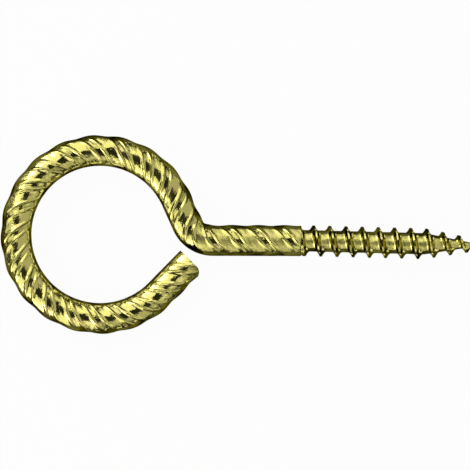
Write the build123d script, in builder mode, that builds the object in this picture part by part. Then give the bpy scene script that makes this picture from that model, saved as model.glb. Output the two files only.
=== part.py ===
from build123d import *
from math import ceil, cos, floor, pi, radians, sin, sqrt
import os

# A screw eye formed from one length of round wire. It lies flat, so the eye is in the XY plane.
# The origin is the centre of the eye, in the mid-plane of the wire. +X is the way it is driven.
# Lengths are in millimetres and angles in degrees.

# Wire
wire_diameter = 3.0

# Eye: an almost closed ring, whose straight tail stops just under the neck
eye_inside_diameter = 13.2
mouth_angle = 43.0
mouth_gap = 0.62
tail_corner_radius = 0.8

# Neck: the wire leaves the ring straight, then turns into the shank
neck_angle = 25.5
neck_straight = 2.5
neck_radius = 2.67

# Shank: full diameter from the neck to the shoulder, and slightly out of line with the thread
shank_length = 8.56
shank_lean = 1.3

# Rope pattern: shallow grooves wound round the wire, with a smooth side towards the eye
groove_starts = 3
groove_pitch = 2.506
groove_width = 1.24
groove_depth = 0.18
groove_phase = 1.62
groove_fade_start = 100.0
groove_fade_end = 156.0

# Thread: a narrow wood-screw ridge on a thinner core, and a gimlet point. The flank share is
# how much of the ridge's height is left at the middle of a flank, so under 0.5 it is hollow.
thread_length = 17.6
thread_pitch = 1.56
thread_major_diameter = 3.0
thread_core_diameter = 2.06
thread_ridge_width = 0.6
thread_flank_share = 0.46
thread_phase = 1.14
thread_run_in = 0.5
point_length = 5.7
point_flat_diameter = 0.12
point_run_out = 1.6
core_seat = 0.4

# Points that a groove's or a ridge's edge passes through in one turn
rail_steps = 36

wire_radius = wire_diameter / 2
ring_radius = eye_inside_diameter / 2 + wire_radius
groove_lead = groove_starts * groove_pitch

# Route of the wire's centre line, from the cut end round the ring to the shoulder
with BuildLine() as route:
    ring = CenterArc((0, 0), ring_radius, -mouth_angle, mouth_angle + neck_angle - 360)
    neck = Line(ring @ 1, ring @ 1 + (ring % 1) * neck_straight)
    bend = JernArc(neck @ 1, neck % 1, neck_radius, 90 - neck_angle + shank_lean)
    shank = Line(bend @ 1, bend @ 1 + (bend % 1) * shank_length)

    # The tail is as long as leaves the mouth gap between its inner corner and the bend
    tail_way = -(ring % 0)
    inner_side = ring @ 0 + Vector(-tail_way.Y, tail_way.X, 0) * wire_radius
    to_bend = bend.arc_center - inner_side
    along = to_bend.dot(tail_way)
    across = to_bend.cross(tail_way).length
    tail_length = along - sqrt((neck_radius + wire_radius + mouth_gap) ** 2 - across**2)
    tail = Line(ring @ 0 + tail_way * tail_length, ring @ 0)
runs = (tail, ring, neck, bend, shank)
wire_length = sum(run.length for run in runs)
shoulder = shank @ 1

def centre_line(distance):
    """Place and heading on the route, which goes on straight past both of its ends."""
    if distance < 0:
        return tail @ 0 + (tail % 0) * distance, tail % 0
    for run in runs:
        if distance <= run.length:
            return run @ (distance / run.length), run % (distance / run.length)
        distance -= run.length
    return shank @ 1 + (shank % 1) * distance, shank % 1


def on_wire(distance, angle, radius):
    """Point beside the wire's centre line. Angle 0 is the outside of the ring, 90 is the top."""
    centre, heading = centre_line(distance)
    outward = Vector(-heading.Y, heading.X, 0)
    return centre + outward * (radius * cos(angle)) + Vector(0, 0, radius * sin(angle))


def on_thread(distance, angle, radius):
    """Point beside the thread's axis, which leaves the shoulder along +X. Angle 0 is +Y."""
    return shoulder + Vector(distance, radius * cos(angle), radius * sin(angle))


def ease(share):
    """Smooth step from 0 to 1."""
    held = min(1.0, max(0.0, share))
    return held * held * (3 - 2 * held)


def axis_radius(distance, angle):
    """Radius of the centre line itself."""
    return 0.0


def land_radius(distance, angle):
    """Radius of the lands between the grooves."""
    return wire_radius


def groove_radius(distance, angle):
    """Radius of a groove's bottom: full depth outside, none on the side towards the eye."""
    from_outside = abs((angle + pi) % (2 * pi) - pi)
    fade = radians(groove_fade_end - groove_fade_start)
    return wire_radius - groove_depth * ease((radians(groove_fade_end) - from_outside) / fade)


def core_radius(distance, angle):
    """Radius of the threaded core, which narrows to the point."""
    to_tip = thread_length - distance
    cone = thread_core_diameter / 2 * to_tip / point_length
    return max(point_flat_diameter / 2, min(thread_core_diameter / 2, cone))


def ridge_height(distance):
    """Height of the thread, which starts at the shoulder and runs out at the tip."""
    height = (thread_major_diameter - thread_core_diameter) / 2
    return height * ease(distance / thread_run_in) * ease((thread_length - distance) / point_run_out)


def flank_radius(distance, angle):
    """Radius in the middle of a flank, which is slightly hollow."""
    return core_radius(distance, angle) + thread_flank_share * ridge_height(distance)


def crest_radius(distance, angle):
    """Radius of the thread's crest."""
    return core_radius(distance, angle) + ridge_height(distance)


def wound_solid(place, rails, lead, phase, begin, end):
    """Solid between helical rails round a centre line.

    Each rail is an offset along the line, in rising order within one lead, and a function
    that gives its radius. Neighbouring rails are joined by straight lines. The solid reaches
    past begin and end by one to two leads, and is trimmed there.
    """

    def rail_turn(rail, turn):
        offset, radius = rail
        points = []
        for step in range(rail_steps + 1):
            angle = pi + 2 * pi * (turn + step / rail_steps)
            distance = phase + offset + lead * angle / (2 * pi)
            points.append(place(distance, angle, radius(distance, angle)))
        return Edge.make_spline(points)

    base = phase + rails[0][0]
    first_turn = floor((begin - base) / lead - 1.5)
    last_turn = ceil((end - base) / lead - 1.5)
    turns = [[rail_turn(rail, turn) for rail in rails] for turn in range(first_turn, last_turn + 1)]
    closing_rail = rail_turn(rails[0], last_turn + 1)
    faces = []
    for turn, edges in enumerate(turns):
        following = turns[turn + 1][0] if turn + 1 < len(turns) else closing_rail
        for near, far in zip(edges, edges[1:] + [following]):
            faces.append(Face.make_surface_from_curves(near, far))

    # Each raw end is closed by a spiral ramp down to the centre line and one flat face
    for turn, edge, side, row in (
        (first_turn, turns[0][0], 0, turns[0] + [turns[1][0]]),
        (last_turn + 1, closing_rail, 1, turns[-1] + [closing_rail]),
    ):
        spine = rail_turn((rails[0][0], axis_radius), turn)
        faces.append(Face.make_surface_from_curves(spine, edge))
        corners = [rail @ side for rail in row]
        faces.append(Face(Wire.make_polygon([spine @ 0, *corners, spine @ 1], close=True)))
    return Solid(Shell(faces))


# The rails of one start are the groove's edge, bottom and other edge, and the middle of the land
groove_rails = []
for start in range(groove_starts):
    middle = start * groove_pitch
    groove_rails += [
        (middle - groove_width / 2, land_radius),
        (middle, groove_radius),
        (middle + groove_width / 2, land_radius),
        (middle + groove_pitch / 2, land_radius),
    ]

# The rails of the thread are its ridge's foot, flank, crest, other flank and other foot
thread_rails = [
    (-thread_ridge_width / 2, core_radius),
    (-thread_ridge_width / 4, flank_radius),
    (0, crest_radius),
    (thread_ridge_width / 4, flank_radius),
    (thread_ridge_width / 2, core_radius),
]

# The half with the tail ends at a seam across the left of the ring
seam = tail.length + ring_radius * radians(180 - mouth_angle)
with BuildPart() as tail_half:
    add(wound_solid(on_wire, groove_rails, groove_lead, groove_phase, 0, seam))
    split(bisect_by=Plane.XZ, keep=Keep.TOP)

    # The cut end is square to the wire, with its outer corner rolled over by the shears
    with BuildSketch(Plane(origin=tail @ 0, x_dir=-(tail % 0), z_dir=(0, 0, 1))):
        with BuildLine():
            raw_end = 3 * groove_lead
            square_edge = Polyline(
                (-tail_corner_radius, -wire_diameter),
                (raw_end, -wire_diameter),
                (raw_end, wire_diameter),
                (0, wire_diameter),
                (0, tail_corner_radius - wire_radius),
            )
            corner = (-tail_corner_radius, -wire_radius)
            rolled = TangentArc(square_edge @ 1, corner, tangent=(0, -1))
            Line(rolled @ 1, square_edge @ 0)
        make_face()
    extrude(amount=wire_diameter, both=True, mode=Mode.SUBTRACT)

# The threaded core starts a little inside the wire
with BuildPart() as threaded_end:
    add(wound_solid(on_thread, thread_rails, thread_pitch, thread_phase, -core_seat, thread_length))
    split(bisect_by=Plane.YZ.offset(shoulder.X - core_seat), keep=Keep.TOP)
    split(bisect_by=Plane.YZ.offset(shoulder.X + thread_length), keep=Keep.BOTTOM)

with BuildPart() as screw_eye:
    # The half with the neck and the shank, from the seam to the shoulder
    add(wound_solid(on_wire, groove_rails, groove_lead, groove_phase, seam, wire_length))
    with Locations((ring_radius / 2, 0)):
        beyond = 3 * ring_radius
        below_seam = (Align.MAX, Align.MAX, Align.CENTER)
        Box(beyond, beyond, beyond, align=below_seam, mode=Mode.SUBTRACT)
    split(bisect_by=Plane(origin=shoulder, z_dir=shank % 1), keep=Keep.BOTTOM)
    add(tail_half.part)

    add(threaded_end.part)

screw_eye.part.label = "screw_eye"
os.makedirs("parts", exist_ok=True)
export_step(screw_eye.part, "parts/screw_eye.step")
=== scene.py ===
"""Looks of a brass-plated screw eye that lies flat on a pale floor.

The screw eye is one piece of wire: a grooved ring with a cut tail, a neck, a shank and a
wood-screw thread with a gimlet point. All lengths in the classes are in millimetres, and all
angles in their fields are in degrees.
"""

import logging
import math
from collections.abc import Callable
from dataclasses import dataclass, field
from enum import Enum

import bmesh
import bpy
import numpy as np
from mathutils import Matrix, Vector

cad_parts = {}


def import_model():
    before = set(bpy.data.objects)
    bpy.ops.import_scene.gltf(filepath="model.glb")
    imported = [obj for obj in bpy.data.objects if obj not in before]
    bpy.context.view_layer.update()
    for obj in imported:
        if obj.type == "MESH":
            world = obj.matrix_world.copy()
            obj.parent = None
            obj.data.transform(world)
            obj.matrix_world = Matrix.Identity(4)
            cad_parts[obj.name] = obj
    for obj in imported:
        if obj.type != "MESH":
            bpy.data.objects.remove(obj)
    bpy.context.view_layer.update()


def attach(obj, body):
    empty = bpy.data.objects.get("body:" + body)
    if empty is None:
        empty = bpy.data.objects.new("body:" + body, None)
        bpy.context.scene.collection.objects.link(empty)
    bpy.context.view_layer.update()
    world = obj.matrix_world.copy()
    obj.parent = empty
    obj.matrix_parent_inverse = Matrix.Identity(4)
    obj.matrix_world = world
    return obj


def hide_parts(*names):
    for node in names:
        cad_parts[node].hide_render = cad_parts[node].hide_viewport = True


MM = 0.001
TURN = 2 * math.pi

# A point that is nearer than this to the end of a length lies on it
TOUCH = 1e-6
WHITE = (1.0, 1.0, 1.0, 1.0)
LOG = logging.getLogger("screw_eye")

Shape = Callable[[np.ndarray, np.ndarray, np.ndarray], tuple]
Operand = bpy.types.NodeSocket | float


def ease(share: np.ndarray) -> np.ndarray:
    """Smooth step from 0 to 1 of a share that is held between them."""
    held = np.clip(share, 0.0, 1.0)
    return held * held * (3 - 2 * held)


def ahead(headings: np.ndarray | float) -> np.ndarray:
    """Direction of each heading, in the plane of the ring."""
    return np.stack((np.cos(headings), np.sin(headings)), axis=-1)


def left(headings: np.ndarray | float) -> np.ndarray:
    """Direction square to each heading, on its left."""
    return np.stack((-np.sin(headings), np.cos(headings)), axis=-1)


class Attribute(Enum):
    """Values that the mesh hands to the finish, one for each point."""

    # GROOVE, CREASE and SIDE tell the finish where to paint shade: in the grooves, in their corners
    # and on the sides
    GROOVE = "groove"
    CREASE = "crease"
    SIDE = "side"
    MATTE = "matte"
    PLACE = "place"


@dataclass(frozen=True)
class Stretch:
    """One straight or evenly curved stretch of the wire's centre line."""

    start: np.ndarray
    heading: float
    length: float
    curve: float = 0.0

    def at(self, runs: np.ndarray) -> tuple[np.ndarray, np.ndarray]:
        """Find points on the stretch.

        Args:
            runs: Distances from the start of the stretch.

        Returns:
            The places, one row of X and Y each, and the headings in radians.
        """
        headings = self.heading + runs * self.curve
        if self.curve == 0.0:
            return self.start + runs[:, None] * ahead(self.heading), headings
        centre = self.start + left(self.heading) / self.curve
        return centre - left(headings) / self.curve, headings

    def end(self) -> tuple[np.ndarray, float]:
        """Place and heading at the end of the stretch."""
        places, headings = self.at(np.array((self.length,)))
        return places[0], float(headings[0])


@dataclass
class WireRoute:
    """Centre line of the wire: straight tail, ring, straight neck, bend and straight shank."""

    wire_radius: float = 1.5
    eye_inside_radius: float = 6.6
    mouth_angle: float = 43.0
    mouth_gap: float = 0.62
    neck_angle: float = 25.5
    neck_straight: float = 2.5
    neck_radius: float = 2.67
    shank_lean: float = 1.3
    shank_length: float = 8.56

    def __post_init__(self) -> None:
        """Lay the stretches out one after the other, and fit the tail to the gap at the mouth."""
        ring_radius = self.eye_inside_radius + self.wire_radius
        ring_turn = math.radians(360 - self.mouth_angle - self.neck_angle)
        bend_turn = math.radians(90 - self.neck_angle + self.shank_lean)
        heading = math.radians(-90 - self.mouth_angle)
        ring_start = ring_radius * left(heading)
        ring = Stretch(ring_start, heading, ring_radius * ring_turn, -1 / ring_radius)
        neck = Stretch(*ring.end(), self.neck_straight)
        bend = Stretch(*neck.end(), self.neck_radius * bend_turn, 1 / self.neck_radius)
        shank = Stretch(*bend.end(), self.shank_length)

        # The tail stops where its inner corner is the gap away from the bend
        bend_centre = bend.start + self.neck_radius * left(bend.heading)
        to_bend = bend_centre - ring_start + self.wire_radius * left(heading)
        along = float(to_bend @ -ahead(heading))
        across = float(to_bend @ left(heading))
        clear = self.neck_radius + self.wire_radius + self.mouth_gap
        tail_length = along - math.sqrt(clear**2 - across**2)
        tail = Stretch(ring_start - tail_length * ahead(heading), heading, tail_length)

        self.stretches = (tail, ring, neck, bend, shank)
        self.length = sum(stretch.length for stretch in self.stretches)
        self.shoulder = shank.end()[0]

    def at(self, distances: np.ndarray) -> tuple[np.ndarray, np.ndarray]:
        """Find points on the centre line.

        Args:
            distances: Distances from the cut end.

        Returns:
            The places, one row of X and Y each, and the headings in radians.
        """
        places = np.zeros((len(distances), 2))
        headings = np.zeros(len(distances))
        begin = 0.0
        for stretch in self.stretches:
            here = distances >= begin - TOUCH
            places[here], headings[here] = stretch.at(distances[here] - begin)
            begin += stretch.length
        return places, headings


@dataclass
class RopePattern:
    """Grooves wound round the wire, with a raised lip along both of their edges.

    The reaches are distances from a groove's middle: to the end of its flat floor, of its wall,
    of the lip and of the hollow slope that goes down to the land. On the outer side of the wire
    only a soft wave is left, and on the side towards the eye the wire is smooth. The counts say
    how many columns of the mesh each part of the section has.
    """

    starts: int = 3
    pitch: float = 2.506
    phase: float = 1.62
    floor_reach: float = 0.26
    wall_reach: float = 0.45
    lip_reach: float = 0.48
    slope_reach: float = 0.86
    floor_depth: float = 0.11
    land_depth: float = 0.1
    land_margin: float = 0.3
    wave_depth: float = 0.12
    shank_wave_depth: float = 0.08
    crease_width: float = 0.05
    front_start: float = 20.0
    front_end: float = 60.0
    fade_start: float = 105.0
    fade_end: float = 165.0
    floor_count: int = 2
    wall_count: int = 4
    slope_count: int = 5
    land_count: int = 3

    @property
    def lead(self) -> float:
        """Distance that one groove moves on in a whole turn."""
        return self.starts * self.pitch

    def columns(self) -> np.ndarray:
        """Lay out the columns of the mesh within one pitch, close together on the lips.

        Returns:
            Offset of each column from the groove's middle.
        """
        floor = np.linspace(0, self.floor_reach, self.floor_count + 1)[:-1]
        wall = np.linspace(self.floor_reach, self.wall_reach, self.wall_count + 1)
        slope = np.linspace(self.lip_reach, self.slope_reach, self.slope_count + 1)
        land = np.linspace(self.slope_reach, self.pitch / 2, self.land_count + 1)[1:]
        near = np.concatenate((floor, wall, slope, land))
        return np.concatenate((near, self.pitch - near[-2:0:-1]))

    def _from_middle(self, offsets: np.ndarray) -> np.ndarray:
        """Distance to the middle of the nearest groove."""
        return np.abs((offsets + self.pitch / 2) % self.pitch - self.pitch / 2)

    def _step(self, angles: np.ndarray, start: float, end: float) -> np.ndarray:
        """Smooth step between two angles from the outside of the ring, on both faces alike."""
        from_outside = np.degrees(np.abs((angles + math.pi) % TURN - math.pi))
        return ease((from_outside - start) / (end - start))

    def fade(self, angles: np.ndarray) -> np.ndarray:
        """Share that is left of the pattern at each angle, none on the side towards the eye."""
        return 1 - self._step(angles, self.fade_start, self.fade_end)

    def front(self, angles: np.ndarray) -> np.ndarray:
        """Share that the grooves have of the pattern at each angle. The soft wave has the rest."""
        return self._step(angles, self.front_start, self.front_end)

    def _down_slope(self, offsets: np.ndarray) -> np.ndarray:
        """How far each point is down the slope from the lip to the land, as a share of it."""
        return (self._from_middle(offsets) - self.lip_reach) / (self.slope_reach - self.lip_reach)

    def sunk(self, offsets: np.ndarray, angles: np.ndarray) -> np.ndarray:
        """Tell how far each point is down in a groove.

        Args:
            offsets: Distance along the wire from the phase, less the winding.
            angles: Angle round the wire, 0 on the outside of the ring.

        Returns:
            1 on the floor, 0 from the lip on.
        """
        wall = self.wall_reach - self.floor_reach
        down = ease((self.wall_reach - self._from_middle(offsets)) / wall)
        return down * self.fade(angles) * self.front(angles)

    def dip(self, offsets: np.ndarray, angles: np.ndarray, wave_depth: np.ndarray) -> np.ndarray:
        """Measure how deep the surface lies under the full round wire.

        Args:
            offsets: Distance along the wire from the phase, less the winding.
            angles: Angle round the wire, 0 on the outside of the ring.
            wave_depth: Depth of the soft wave on the outer side at each point.

        Returns:
            The depth, nowhere under 0.
        """
        front = self.front(angles)
        land = self.land_depth * ease(self._down_slope(offsets)) * self.fade(angles) * front
        wave = 0.5 + 0.5 * np.cos(TURN * self._from_middle(offsets) / self.pitch)
        return self.floor_depth * self.sunk(offsets, angles) + land + wave_depth * wave * (1 - front)

    def land(self, offsets: np.ndarray) -> np.ndarray:
        """1 on the flat of a land, 0 on the lips and between them."""
        return ease(self._down_slope(offsets) - self.land_margin)

    def crease(self, offsets: np.ndarray, angles: np.ndarray) -> np.ndarray:
        """Tell how near each point is to a corner between a groove's floor and its wall.

        Args:
            offsets: Distance along the wire from the phase, less the winding.
            angles: Angle round the wire, 0 on the outside of the ring.

        Returns:
            1 in a corner, 0 well away from one.
        """
        away = (self._from_middle(offsets) - self.floor_reach) / self.crease_width
        return np.exp(-(away**2)) * self.fade(angles) * self.front(angles)


@dataclass
class WoodThread:
    """Wood-screw thread on a thinner core: a blunt start, a narrow ridge and a gimlet point.

    The hollow is the power with which a flank rises to the crest, so above 1 it is concave. The
    counts say how many columns of the mesh a flank and the core have.
    """

    length: float = 17.6
    pitch: float = 1.56
    starts: int = 1
    major_radius: float = 1.5
    core_radius: float = 1.03
    core_margin: float = 0.1
    core_blend: float = 0.15
    ridge_width: float = 0.96
    crest_width: float = 0.16
    hollow: float = 1.9
    phase: float = 1.14
    point_length: float = 5.7
    point_radius: float = 0.06
    fade_length: float = 1.6
    blunt_width: float = 0.3
    blunt_length: float = 0.45
    flank_count: int = 6
    core_count: int = 4

    @property
    def lead(self) -> float:
        """Distance that the ridge moves on in a whole turn."""
        return self.starts * self.pitch

    def columns(self) -> np.ndarray:
        """Lay out the columns of the mesh within one pitch, close together on the ridge.

        Returns:
            Offset of each column from the crest.
        """
        crest, foot = self.crest_width / 2, self.ridge_width / 2
        near = np.concatenate(((0.0,), np.linspace(crest, foot, self.flank_count + 1)))
        core = np.linspace(foot, self.pitch - foot, self.core_count + 1)[1:-1]
        return np.concatenate((near, core, self.pitch - near[:0:-1]))

    def _past_crest(self, offsets: np.ndarray) -> np.ndarray:
        """Distance past the nearest crest towards the tip, negative before it."""
        return (offsets + self.pitch / 2) % self.pitch - self.pitch / 2

    def radius(self, distances: np.ndarray, offsets: np.ndarray) -> np.ndarray:
        """Measure the radius of the threaded length.

        Args:
            distances: Distances from the shoulder.
            offsets: Distances along the axis from the phase, less the winding.

        Returns:
            The radius at each point.
        """
        to_tip = self.length - distances
        core = np.minimum(self.core_radius, self.core_radius * to_tip / self.point_length)
        core = np.maximum(core, self.point_radius)
        blunt = self.blunt_width / 2 * (1 - ease(distances / self.blunt_length))
        from_crest = np.abs(self._past_crest(offsets)) - blunt
        flank = (self.ridge_width - self.crest_width) / 2
        rise = np.clip((self.ridge_width / 2 - from_crest) / flank, 0.0, 1.0)
        height = (self.major_radius - self.core_radius) * ease(to_tip / self.fade_length)
        return core + height * rise**self.hollow

    def flanks(self, offsets: np.ndarray) -> tuple[np.ndarray, np.ndarray]:
        """Tell the ridge's two sides apart.

        Args:
            offsets: Distances along the axis from the phase, less the winding.

        Returns:
            1 on the flank that faces the shank and on the one that faces the tip, 0 elsewhere.
        """
        past_crest = self._past_crest(offsets)
        on_ridge = np.abs(past_crest) < self.ridge_width / 2
        near = on_ridge & (past_crest <= 0)
        far = on_ridge & (past_crest > 0)
        return near.astype(float), far.astype(float)

    def core(self, offsets: np.ndarray) -> np.ndarray:
        """1 on the core between the ridge's feet, 0 on the ridge."""
        from_crest = np.abs(self._past_crest(offsets))
        return ease((from_crest - self.ridge_width / 2 + self.core_margin) / self.core_blend)


@dataclass
class ScrewEye:
    """The whole screw eye as one closed mesh.

    The sides say how much further the painted shade of the sides reaches on the rim of the
    shank and of the threaded length, and how much less of it the ridge's flanks get, which face
    the shank and the tip. The mattes are what the lands of the shank and the core of the thread
    add to the roughness.
    """

    route: WireRoute = field(default_factory=WireRoute)
    rope: RopePattern = field(default_factory=RopePattern)
    thread: WoodThread = field(default_factory=WoodThread)
    rows: int = 96
    cap_rings: int = 6
    tail_corner_radius: float = 0.8
    shoulder_round: float = 0.12
    shank_side: float = 1.7
    thread_side: float = 1.8
    near_flank_side: float = 1.5
    far_flank_side: float = 4.2
    shank_matte: float = 0.28
    thread_matte: float = 0.22
    sharp_angle: float = 38.0

    def __post_init__(self) -> None:
        """Start with an empty mesh."""
        self.count = 0
        self.points: list[np.ndarray] = []
        self.places: list[np.ndarray] = []
        self.faces: list[tuple[int, ...]] = []
        floats = (kind for kind in Attribute if kind is not Attribute.PLACE)
        self.values: dict[Attribute, list[np.ndarray]] = {kind: [] for kind in floats}

    def _store(
        self, points: np.ndarray, places: np.ndarray, values: dict[Attribute, np.ndarray]
    ) -> np.ndarray:
        """Keep some points and what the finish needs to know of them.

        Args:
            points: The points, one row of X, Y and Z each.
            places: Where each point is on the unrolled surface.
            values: Array for each attribute that isn't 0 all over.

        Returns:
            The numbers of the points in the mesh.
        """
        self.points.append(points)
        self.places.append(places)
        for attribute, kept in self.values.items():
            kept.append(values.get(attribute, np.zeros(len(points))))
        first = self.count
        self.count += len(points)
        return np.arange(first, self.count)

    def _beside_wire(self, distances: np.ndarray, angles: np.ndarray, radii: np.ndarray) -> np.ndarray:
        """Find points beside the wire's centre line, with both of its ends rounded.

        Args:
            distances: Distances from the cut end.
            angles: Angle round the wire, 0 on the outside of the ring.
            radii: Distances from the centre line.

        Returns:
            The points, one row of X, Y and Z each.
        """
        full = self.route.wire_radius
        edge = self.shoulder_round
        to_edge = np.clip(self.route.length - distances, 0.0, edge)
        radii = np.minimum(radii, full - edge + np.sqrt(edge**2 - (edge - to_edge) ** 2))

        # The outer corner of the cut end is rolled over
        corner = self.tail_corner_radius
        into = np.clip(distances, 0.0, corner)
        limit = full - corner + np.sqrt(corner**2 - (corner - into) ** 2)
        out = radii * np.cos(angles)
        out = np.where(distances < corner, np.minimum(out, limit), out)

        places, headings = self.route.at(distances)
        plan = places + out[:, None] * left(headings)
        return np.column_stack((plan, radii * np.sin(angles)))

    def _wire_shape(self, distances: np.ndarray, angles: np.ndarray, offsets: np.ndarray) -> tuple:
        """Form the grooved wire.

        Args:
            distances: Distances from the cut end.
            angles: Angle round the wire, 0 on the outside of the ring.
            offsets: Distances along the wire from the phase, less the winding.

        Returns:
            The points, their places on the unrolled surface and their values.
        """
        rope = self.rope
        from_shank = distances - self.route.length + self.route.shank_length
        on_shank = ease(from_shank / rope.pitch + 1)
        wave = rope.wave_depth + (rope.shank_wave_depth - rope.wave_depth) * on_shank
        radii = self.route.wire_radius - rope.dip(offsets, angles, wave)
        places = np.column_stack((distances, angles * self.route.wire_radius, offsets))
        outside = np.cos(angles)
        shank_side = self.shank_side * np.abs(outside)
        # GROOVE, CREASE and SIDE steer where the finish paints shade; MATTE adds roughness
        values = {
            Attribute.GROOVE: rope.sunk(offsets, angles),
            Attribute.CREASE: rope.crease(offsets, angles),
            Attribute.SIDE: outside + (shank_side - outside) * on_shank,
            Attribute.MATTE: self.shank_matte * rope.land(offsets) * on_shank,
        }
        return self._beside_wire(distances, angles, radii), places, values

    def _thread_shape(self, distances: np.ndarray, angles: np.ndarray, offsets: np.ndarray) -> tuple:
        """Form the threaded length, whose axis leaves the shoulder along X.

        Args:
            distances: Distances from the shoulder.
            angles: Angle round the axis, 0 at Y.
            offsets: Distances along the axis from the phase, less the winding.

        Returns:
            The points, their places on the unrolled surface and their values.
        """
        thread = self.thread
        radii = thread.radius(distances, offsets)
        shoulder_x, shoulder_y = self.route.shoulder
        x = shoulder_x + distances
        y = shoulder_y + radii * np.cos(angles)
        points = np.column_stack((x, y, radii * np.sin(angles)))
        along = distances + self.route.length
        places = np.column_stack((along, angles * thread.major_radius, offsets))
        near, far = thread.flanks(offsets)
        flank_side = self.near_flank_side * near + self.far_flank_side * far
        rim_side = self.thread_side * np.abs(np.cos(angles))
        # SIDE steers where the finish paints shade on the sides; MATTE adds roughness
        values = {
            Attribute.SIDE: rim_side - flank_side * np.abs(np.sin(angles)),
            Attribute.MATTE: self.thread_matte * thread.core(offsets),
        }
        return points, places, values

    def _wind(self, winding: RopePattern | WoodThread, length: float, shape: Shape) -> tuple:
        """Wind a grid of points round a length, in line with its helix.

        Args:
            winding: The grooves or the ridge that the grid follows.
            length: Length that is covered.
            shape: Method that turns distances, angles and offsets into points, places and values.

        Returns:
            The point numbers of the first and the last rim.
        """
        pitch, phase, lead = winding.pitch, winding.phase, winding.lead
        first = math.floor((-lead - phase) / pitch) - 1
        last = math.ceil((length - phase) / pitch) + 1
        columns = winding.columns()
        line = np.concatenate([pitch * step + columns for step in range(first, last + 1)])
        offsets = np.repeat(line[:, None], self.rows, axis=1)
        angles = TURN * np.arange(self.rows) / self.rows
        distances = phase + offsets + lead * angles / TURN

        # What would lie past an end is drawn in to that end's rim
        rims = []
        for end in (0.0, length):
            here = np.full(self.rows, end)
            rims.append(self._store(*shape(here, angles, here - phase - lead * angles / TURN)))
        numbers = np.where(distances < length / 2, rims[0], rims[1])
        inside = (distances > TOUCH) & (distances < length - TOUCH)
        row = np.nonzero(inside)[1]
        numbers[inside] = self._store(*shape(distances[inside], angles[row], offsets[inside]))
        self._weave(numbers, winding.starts * len(columns))
        return rims[0], rims[1]

    def _weave(self, numbers: np.ndarray, shift: int) -> None:
        """Add the faces of a wound grid, without those that are drawn in to nothing.

        Args:
            numbers: Point numbers, a line for each column of the winding, along the angles.
            shift: How many lines the grid moves on where a turn closes.
        """
        lines = len(numbers)
        for i in range(lines - 1):
            for j in range(self.rows):
                if j + 1 < self.rows:
                    beside = (numbers[i + 1, j + 1], numbers[i, j + 1])
                elif i + 1 + shift < lines:
                    beside = (numbers[i + 1 + shift, 0], numbers[i + shift, 0])
                else:
                    continue
                corners = (numbers[i, j], numbers[i + 1, j], *beside)
                face = tuple(dict.fromkeys(int(corner) for corner in corners))
                if len(face) > 2:
                    self.faces.append(face)

    def _join(self, near: np.ndarray, far: np.ndarray) -> None:
        """Join two rims of as many points with a band of faces.

        Args:
            near: Point numbers of the first rim.
            far: Point numbers of the second rim.
        """
        for j in range(self.rows):
            k = (j + 1) % self.rows
            self.faces.append((int(near[j]), int(far[j]), int(far[k]), int(near[k])))

    def _cap(self, rim: np.ndarray, flip: bool) -> None:
        """Close a rim with rings that shrink to its middle.

        Args:
            rim: Point numbers of the rim.
            flip: Whether the faces turn the other way round.
        """
        points = np.concatenate(self.points)[rim]
        places = np.concatenate(self.places)[rim]
        middle = points.mean(axis=0)
        previous = rim
        for ring in range(1, self.cap_rings):
            here = points + (middle - points) * ring / self.cap_rings
            current = self._store(here, places, {})
            self._join(*((current, previous) if flip else (previous, current)))
            previous = current
        centre = int(self._store(middle[None, :], places[:1], {})[0])
        for j in range(self.rows):
            pair = (int(previous[j]), int(previous[(j + 1) % self.rows]))
            self.faces.append((*(pair if flip else pair[::-1]), centre))

    def build(self) -> bpy.types.Object:
        """Make the mesh object.

        Returns:
            The screw eye, at its real size and place.
        """
        cut_end, wire_end = self._wind(self.rope, self.route.length, self._wire_shape)
        thread_start, tip = self._wind(self.thread, self.thread.length, self._thread_shape)
        self._join(wire_end, thread_start)
        self._cap(cut_end, flip=True)
        self._cap(tip, flip=False)

        mesh = bpy.data.meshes.new("screw_eye_wire")
        mesh.from_pydata(np.concatenate(self.points) * MM, [], self.faces)
        for attribute, kept in self.values.items():
            layer = mesh.attributes.new(attribute.value, "FLOAT", "POINT")
            layer.data.foreach_set("value", np.concatenate(kept))
        layer = mesh.attributes.new(Attribute.PLACE.value, "FLOAT_VECTOR", "POINT")
        layer.data.foreach_set("vector", np.concatenate(self.places).ravel())

        form = bmesh.new()
        form.from_mesh(mesh)
        bmesh.ops.recalc_face_normals(form, faces=form.faces)
        form.to_mesh(mesh)
        form.free()
        mesh.shade_smooth()
        mesh.set_sharp_from_angle(angle=math.radians(self.sharp_angle))
        wire = bpy.data.objects.new("screw_eye_wire", mesh)
        bpy.context.scene.collection.objects.link(wire)
        return wire

    def dress(self, wire: bpy.types.Object) -> None:
        """Give the wire its brass plate."""
        wire.data.materials.append(BrassPlate().material())


@dataclass(frozen=True)
class Grain:
    """Noise over a surface: grains per millimetre each way, and how much finer grain is added."""

    scale: tuple
    detail: float


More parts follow.
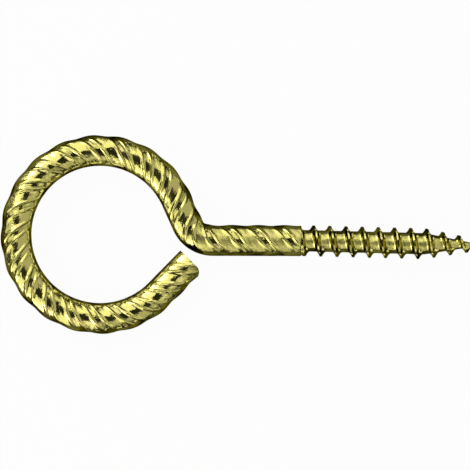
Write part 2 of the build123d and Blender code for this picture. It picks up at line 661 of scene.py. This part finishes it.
class NodeSheet:
    """A short way to add and join the nodes of one material."""

    def __init__(self, name: str) -> None:
        """Start an empty material.

        Args:
            name: Name of the material.
        """
        self.material = bpy.data.materials.new(name)
        self.material.use_nodes = True
        self.tree = self.material.node_tree
        self.tree.nodes.clear()

    def add(self, kind: str, **settings: str) -> bpy.types.Node:
        """Add a node.

        Args:
            kind: Blender's name of the node type.
            settings: Properties to set on the node.

        Returns:
            The new node.
        """
        node = self.tree.nodes.new(kind)
        for key, value in settings.items():
            setattr(node, key, value)
        return node

    def join(self, source: bpy.types.NodeSocket, target: bpy.types.NodeSocket) -> None:
        """Link an output to an input."""
        self.tree.links.new(source, target)

    def finish(self, shader: bpy.types.NodeSocket) -> bpy.types.Material:
        """Put a shader on the surface.

        Args:
            shader: Output of the last shader node.

        Returns:
            The material.
        """
        out = self.add("ShaderNodeOutputMaterial")
        self.join(shader, out.inputs["Surface"])
        return self.material

    def value(self, attribute: Attribute) -> bpy.types.NodeSocket:
        """Read a number that the mesh hands to the finish."""
        return self.add("ShaderNodeAttribute", attribute_name=attribute.value).outputs["Fac"]

    def place(self) -> bpy.types.NodeSocket:
        """Read where on the unrolled surface a point is, in millimetres."""
        node = self.add("ShaderNodeAttribute", attribute_name=Attribute.PLACE.value)
        return node.outputs["Vector"]

    def calculate(
        self, operation: str, first: Operand, second: Operand = 0.0, third: Operand = 0.0
    ) -> bpy.types.NodeSocket:
        """Work out a sum with sockets and numbers.

        Args:
            operation: Blender's name of the operation.
            first: First operand.
            second: Second operand, where the operation has one.
            third: Third operand, where the operation has one.

        Returns:
            The result's socket.
        """
        node = self.add("ShaderNodeMath", operation=operation)
        for socket, operand in zip(node.inputs, (first, second, third)):
            if isinstance(operand, float):
                socket.default_value = operand
            else:
                self.join(operand, socket)
        return node.outputs["Value"]

    def span(
        self, value: bpy.types.NodeSocket, source: tuple, target: tuple = (0.0, 1.0)
    ) -> bpy.types.NodeSocket:
        """Carry a value smoothly from one span to another, and hold it there.

        Args:
            value: The value.
            source: Begin and end of the span that it comes from.
            target: Begin and end of the span that it goes to.

        Returns:
            The result's socket.
        """
        step = self.add("ShaderNodeMapRange", interpolation_type="SMOOTHSTEP")
        step.inputs["From Min"].default_value = source[0]
        step.inputs["From Max"].default_value = source[1]
        step.inputs["To Min"].default_value = target[0]
        step.inputs["To Max"].default_value = target[1]
        self.join(value, step.inputs["Value"])
        return step.outputs["Result"]

    def noise(self, place: bpy.types.NodeSocket, grain: Grain) -> bpy.types.NodeSocket:
        """Spread noise over the surface.

        Args:
            place: Where on the surface, in millimetres.
            grain: Size of the grain each way.

        Returns:
            The noise's socket, about 0.5 on average.
        """
        sized = self.add("ShaderNodeMapping")
        sized.inputs["Scale"].default_value = grain.scale
        self.join(place, sized.inputs["Vector"])
        noise = self.add("ShaderNodeTexNoise")
        noise.inputs["Scale"].default_value = 1.0
        noise.inputs["Detail"].default_value = grain.detail
        self.join(sized.outputs["Vector"], noise.inputs["Vector"])
        return noise.outputs["Fac"]

    def mix(
        self, share: bpy.types.NodeSocket, first: bpy.types.NodeSocket | tuple, second: tuple
    ) -> bpy.types.NodeSocket:
        """Mix two colours.

        Args:
            share: Share of the second colour.
            first: First colour, or the socket that it comes from.
            second: Second colour.

        Returns:
            The mixed colour's socket.
        """
        node = self.add("ShaderNodeMix", data_type="RGBA")
        self.join(share, node.inputs["Factor"])
        if isinstance(first, tuple):
            node.inputs["A"].default_value = first
        else:
            self.join(first, node.inputs["A"])
        node.inputs["B"].default_value = second
        return node.outputs["Result"]


@dataclass(frozen=True)
class BrassPlate:
    """Bright yellow brass plate over rolled steel wire, with painted shade on its sides and grooves.

    A grain's ways are along the wire, round it, and across the winding. A span says between
    which two values a feature comes in, and the strengths that go with it how strong the painted
    shade is at either of them.
    """

    bright: tuple = (0.88, 0.82, 0.23, 1.0)
    warm: tuple = (0.88, 0.74, 0.28, 1.0)
    # Dark colour that the painted shade mixes in on the sides and in the grooves
    painted_shade_colour: tuple = (0.042, 0.036, 0.006, 1.0)
    edge_tint: tuple = (0.3, 0.3, 0.12, 1.0)
    warm_grain: Grain = Grain((0.8, 0.8, 0.0), 2.0)
    warm_span: tuple = (0.5, 0.75)
    # Painted shade on the sides: darker where the normal leans away from straight up or down
    side_span: tuple = (0.71, 0.62)
    side_shift: float = 0.07
    patch_grain: Grain = Grain((0.5, 0.5, 0.0), 3.0)
    patch_span: tuple = (0.35, 0.6)
    patch_shading: tuple = (0.85, 1.0)
    # Painted shade in the grooves: streaks on the floors and lines in the corners between floor and
    # wall
    streak_grain: Grain = Grain((0.35, 0.8, 5.0), 2.0)
    streak_span: tuple = (0.45, 0.7)
    streak_shading: tuple = (0.0, 0.5)
    crease_span: tuple = (0.35, 0.55)
    crease_shading: tuple = (0.0, 0.5)
    wave_grain: Grain = Grain((0.55, 0.75, 0.8), 3.5)
    wave_span: tuple = (0.3, 0.7)
    wave_depth: float = 0.16
    roughness: tuple = (0.08, 0.2)

    def _painted_shade_share(self, sheet: NodeSheet, place: bpy.types.NodeSocket) -> bpy.types.NodeSocket:
        """Work out the painted shade: on the sides of the wire, and in streaks in the grooves.

        Args:
            sheet: Nodes of the material.
            place: Where on the surface, in millimetres.

        Returns:
            The painted shade's socket, from 0 to 1.
        """
        # Painted shade on the sides: the further the normal leans sideways the darker, reaching
        # further where SIDE is larger, broken up in soft patches
        facing = sheet.add("ShaderNodeSeparateXYZ")
        sheet.join(sheet.add("ShaderNodeTexCoord").outputs["Normal"], facing.inputs["Vector"])
        level = sheet.calculate("ABSOLUTE", facing.outputs["Z"])
        outward = sheet.calculate("MULTIPLY", sheet.value(Attribute.SIDE), -self.side_shift)
        sides = sheet.span(sheet.calculate("ADD", level, outward), self.side_span)
        patches = sheet.span(sheet.noise(place, self.patch_grain), self.patch_span, self.patch_shading)
        sides = sheet.calculate("MULTIPLY", sides, patches)

        # Painted shade in the grooves: streaks on the floors, and dark lines in the corners between
        # floor and wall
        grain = sheet.noise(place, self.streak_grain)
        streaks = sheet.span(grain, self.streak_span, self.streak_shading)
        corners = sheet.span(grain, self.crease_span, self.crease_shading)
        sunk = sheet.calculate("MULTIPLY", sheet.value(Attribute.GROOVE), streaks)
        groove_shade = sheet.calculate("MULTIPLY_ADD", sheet.value(Attribute.CREASE), corners, sunk)
        return sheet.calculate("MAXIMUM", sides, groove_shade)

    def material(self) -> bpy.types.Material:
        """Make the material.

        Returns:
            The brass finish.
        """
        sheet = NodeSheet("brass_plate")
        place = sheet.place()
        shader = sheet.add("ShaderNodeBsdfPrincipled")
        shader.inputs["Metallic"].default_value = 1.0
        shader.inputs["Specular Tint"].default_value = self.edge_tint
        warmth = sheet.span(sheet.noise(place, self.warm_grain), self.warm_span)
        tint = sheet.mix(warmth, self.bright, self.warm)
        # Painted shade: the base colour is mixed towards the dark colour on the sides and in the
        # grooves
        colour = sheet.mix(self._painted_shade_share(sheet, place), tint, self.painted_shade_colour)
        sheet.join(colour, shader.inputs["Base Color"])

        waves = sheet.noise(place, self.wave_grain)
        polish = sheet.span(waves, self.wave_span, self.roughness)
        rough = sheet.calculate("ADD", polish, sheet.value(Attribute.MATTE))
        sheet.join(rough, shader.inputs["Roughness"])
        bump = sheet.add("ShaderNodeBump")
        bump.inputs["Strength"].default_value = 1.0
        bump.inputs["Distance"].default_value = self.wave_depth * MM
        sheet.join(waves, bump.inputs["Height"])
        sheet.join(bump.outputs["Normal"], shader.inputs["Normal"])
        return sheet.finish(shader.outputs["BSDF"])


@dataclass(frozen=True)
class PaleFloor:
    """White floor, which still takes the object's shadow."""

    shade: float = 0.95
    white_share: float = 0.96

    def material(self) -> bpy.types.Material:
        """Make the material.

        Returns:
            The floor finish.
        """
        sheet = NodeSheet("pale_floor")
        diffuse = sheet.add("ShaderNodeBsdfDiffuse")
        diffuse.inputs["Color"].default_value = (self.shade, self.shade, self.shade, 1.0)
        white = sheet.add("ShaderNodeEmission")
        white.inputs["Color"].default_value = WHITE
        rays = sheet.add("ShaderNodeLightPath").outputs
        seen = sheet.calculate("MAXIMUM", rays["Is Camera Ray"], rays["Is Glossy Ray"])
        seen = sheet.calculate("MAXIMUM", seen, rays["Is Transmission Ray"])
        mix = sheet.add("ShaderNodeMixShader")
        sheet.join(sheet.calculate("MULTIPLY", seen, self.white_share), mix.inputs["Fac"])
        sheet.join(diffuse.outputs["BSDF"], mix.inputs[1])
        sheet.join(white.outputs["Emission"], mix.inputs[2])
        return sheet.finish(mix.outputs["Shader"])


@dataclass
class SoftLight:
    """One soft box, aimed at the middle of the object.

    The bearing is counted from X towards Y, and the strength goes with the brightness of the
    box's face, whatever its size.
    """

    name: str
    bearing: float
    elevation: float
    distance: float
    width: float
    height: float
    strength: float
    target: tuple = (13.0, 0.0, 0.0)

    def build(self) -> bpy.types.Object:
        """Make the lamp.

        Returns:
            The lamp object.
        """
        lamp = bpy.data.lights.new(self.name, "AREA")
        lamp.shape = "RECTANGLE"
        lamp.size = self.width * MM
        lamp.size_y = self.height * MM
        lamp.energy = self.strength * math.pi * lamp.size * lamp.size_y
        elevation = math.radians(self.elevation)
        level = ahead(math.radians(self.bearing)) * math.cos(elevation)
        way = Vector((*level, math.sin(elevation)))
        stand = bpy.data.objects.new(self.name, lamp)
        stand.location = (Vector(self.target) + way * self.distance) * MM
        stand.rotation_euler = way.to_track_quat("Z", "Y").to_euler()
        bpy.context.scene.collection.objects.link(stand)
        return stand


@dataclass
class Studio:
    """Floor, lamps, world and the camera that looks straight down."""

    floor_level: float
    floor_size: float = 1600.0
    frame_width: float = 45.3
    frame_centre: tuple = (13.01, 0.28)
    frame_turn: float = 1.47
    camera_height: float = 700.0
    sensor_width: float = 36.0
    view_depth: float = 10000.0
    world_shade: float = 0.02

    def build_floor(self) -> bpy.types.Object:
        """Lay the floor under the object.

        Returns:
            The floor object.
        """
        half = self.floor_size / 2 * MM
        level = self.floor_level * MM
        mesh = bpy.data.meshes.new("floor")
        ways = ((-1, -1), (1, -1), (1, 1), (-1, 1))
        mesh.from_pydata([(x * half, y * half, level) for x, y in ways], [], [(0, 1, 2, 3)])
        mesh.materials.append(PaleFloor().material())
        floor = bpy.data.objects.new("floor", mesh)
        bpy.context.scene.collection.objects.link(floor)
        return floor

    def build_world(self) -> None:
        """Give the room round the lamps a dim even tone."""
        world = bpy.data.worlds.new("room")
        world.use_nodes = True
        shade = (self.world_shade, self.world_shade, self.world_shade, 1.0)
        world.node_tree.nodes["Background"].inputs["Color"].default_value = shade
        bpy.context.scene.world = world

    def build_lights(self) -> None:
        """Set the soft boxes round the object, each with its bearing, elevation and distance first."""
        boxes = (
            SoftLight("upper_left_box", 124, 41, 400, 480, 500, 1.08),
            SoftLight("lower_left_box", 232, 27, 400, 440, 400, 1.05),
            SoftLight("left_box", 178, 36, 420, 240, 240, 0.62),
            SoftLight("upper_right_box", 66, 38, 420, 200, 260, 0.6),
            SoftLight("right_box", 5, 38, 400, 620, 500, 0.42),
            SoftLight("lower_right_box", 296, 42, 420, 340, 340, 0.42),
            SoftLight("upper_lamp", 137, 28, 400, 150, 150, 3.2),
            SoftLight("lower_lamp", 226, 16, 400, 170, 130, 3.2),
        )
        for box in boxes:
            box.build()

    def build_camera(self) -> None:
        """Hang the camera far above, with a long lens, at the photograph's angle."""
        lens = bpy.data.cameras.new("camera")
        lens.sensor_width = self.sensor_width
        lens.lens = self.sensor_width * self.camera_height / self.frame_width
        lens.clip_end = self.view_depth * MM
        camera = bpy.data.objects.new("camera", lens)
        x, y = self.frame_centre
        place = Matrix.Translation((x * MM, y * MM, self.camera_height * MM))
        camera.matrix_world = place @ Matrix.Rotation(math.radians(self.frame_turn), 4, "Z")
        bpy.context.scene.collection.objects.link(camera)
        bpy.context.scene.camera = camera

    def build(self) -> None:
        """Set up everything round the object."""
        self.build_floor()
        self.build_world()
        self.build_lights()
        self.build_camera()


def main() -> None:
    """Load the frame, build and dress the screw eye, and set up the studio."""
    logging.basicConfig(level=logging.INFO, format="%(message)s")
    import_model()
    bpy.context.scene.view_settings.view_transform = "Standard"

    screw_eye = ScrewEye()
    wire = screw_eye.build()
    screw_eye.dress(wire)
    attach(wire, "root")
    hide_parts("screw_eye")
    LOG.info("screw eye: %d points, %d faces", len(wire.data.vertices), len(wire.data.polygons))

    Studio(floor_level=-screw_eye.route.wire_radius).build()
    LOG.info("studio: floor, lamps, world and camera")


if __name__ == "__main__":
    main()
